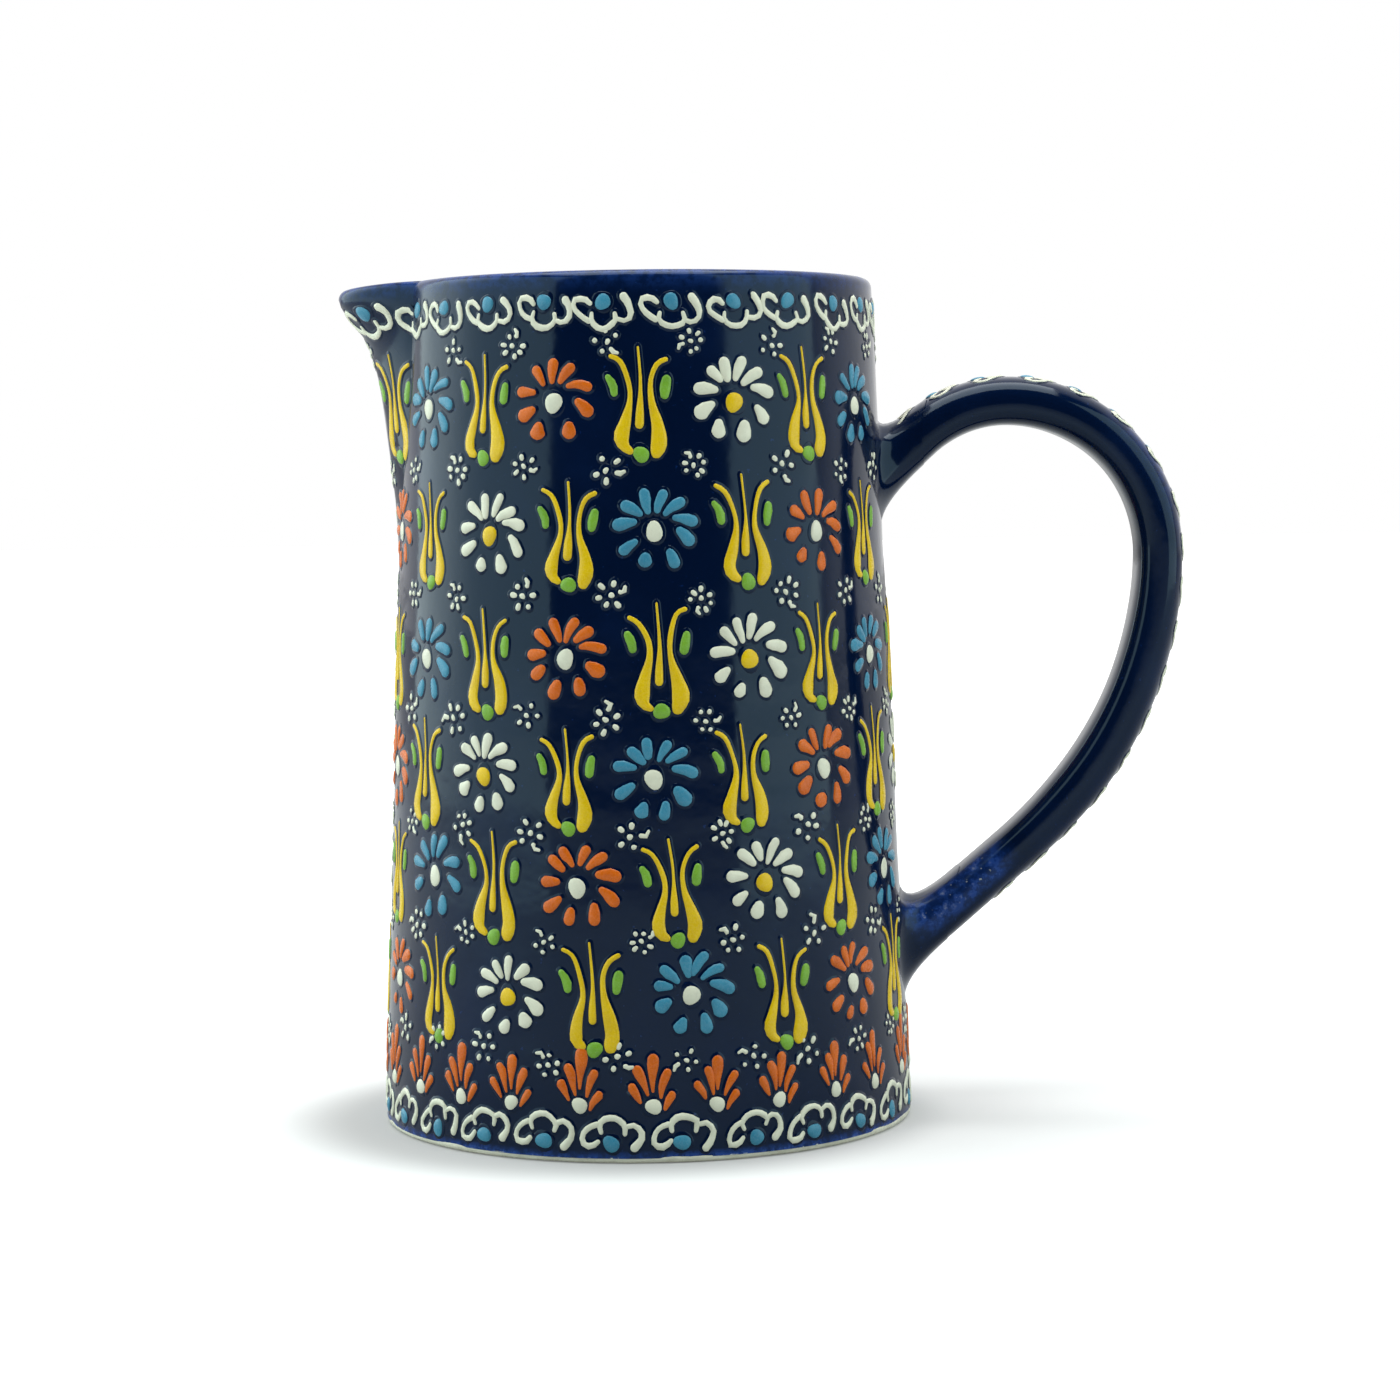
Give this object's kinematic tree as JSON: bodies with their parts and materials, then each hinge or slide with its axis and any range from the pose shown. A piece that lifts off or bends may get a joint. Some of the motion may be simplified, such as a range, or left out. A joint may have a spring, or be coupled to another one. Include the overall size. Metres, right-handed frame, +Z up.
{
  "type": "ceramic pitcher",
  "caption": "Tall glazed ceramic pitcher with a V-shaped pouring spout, a strap handle and raised slip flowers, tulips and fans on a dark blue ground.",
  "frame": {"origin": "centre of the foot, on the surface the pitcher stands on", "axes": "+Z up, +X towards the handle, -X towards the spout, +Y across"},
  "size_m": [0.1922, 0.1219, 0.19],
  "materials": {
    "bare_clay": "matt",
    "cobalt_glaze": "gloss",
    "green_slip": "satin",
    "light_blue_slip": "satin",
    "orange_slip": "satin",
    "white_slip": "satin",
    "yellow_slip": "satin"
  },
  "bodies": {
    "root": {"blue_petals": "light_blue_slip", "fan_dots": "white_slip", "fans": "orange_slip", "floor_slab": "cobalt_glaze", "foot_dots": "light_blue_slip", "foot_ring": "bare_clay", "foot_scallops": "white_slip", "handle": "cobalt_glaze", "handle_dots": "light_blue_slip", "handle_lower_lute": "cobalt_glaze", "handle_scallops": "white_slip", "handle_upper_lute": "cobalt_glaze", "orange_petals": "orange_slip", "rim_dots": "light_blue_slip", "rim_scallops": "white_slip", "spout": "cobalt_glaze", "tulip_dots": "green_slip", "tulip_leaves": "green_slip", "tulip_strokes": "yellow_slip", "wall": "cobalt_glaze", "white_eyes": "white_slip", "white_petals": "white_slip", "yellow_eyes": "yellow_slip"}
  },
  "joints": []
}
